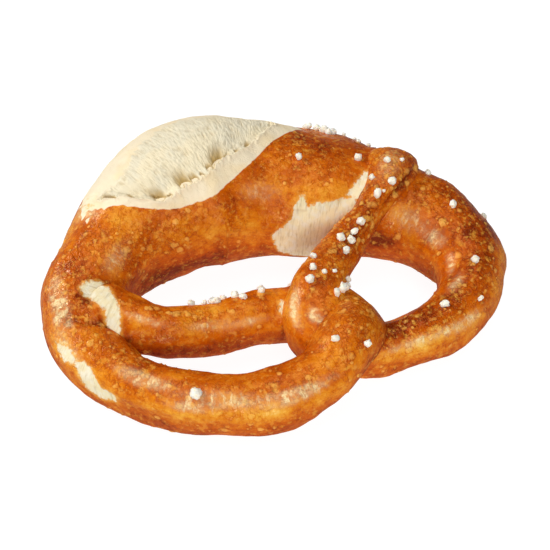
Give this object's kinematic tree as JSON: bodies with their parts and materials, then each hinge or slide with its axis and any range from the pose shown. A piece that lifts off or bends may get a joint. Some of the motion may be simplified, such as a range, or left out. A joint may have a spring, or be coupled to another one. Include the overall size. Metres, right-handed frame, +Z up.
{
  "type": "bavarian pretzel",
  "caption": "Soft lye-baked pretzel with a thick burst belly, open loops, a twist, thin arms laid on the belly, and coarse salt on its crust.",
  "frame": {"origin": "centre of the footprint, on the plane that the pretzel rests on", "axes": "+X to the right, +Y from the twist to the thick belly, +Z up; metres"},
  "size_m": [0.1705, 0.1406, 0.0489],
  "materials": {
    "crust": "glossy lye-baked crust, mottled orange-brown to red-brown",
    "crumb": "matte torn crumb, cream to grey-white, for the burst",
    "salt": "coarse opaque white salt grains"
  },
  "bodies": {
    "root": {"pretzel": "crust"}
  },
  "joints": []
}
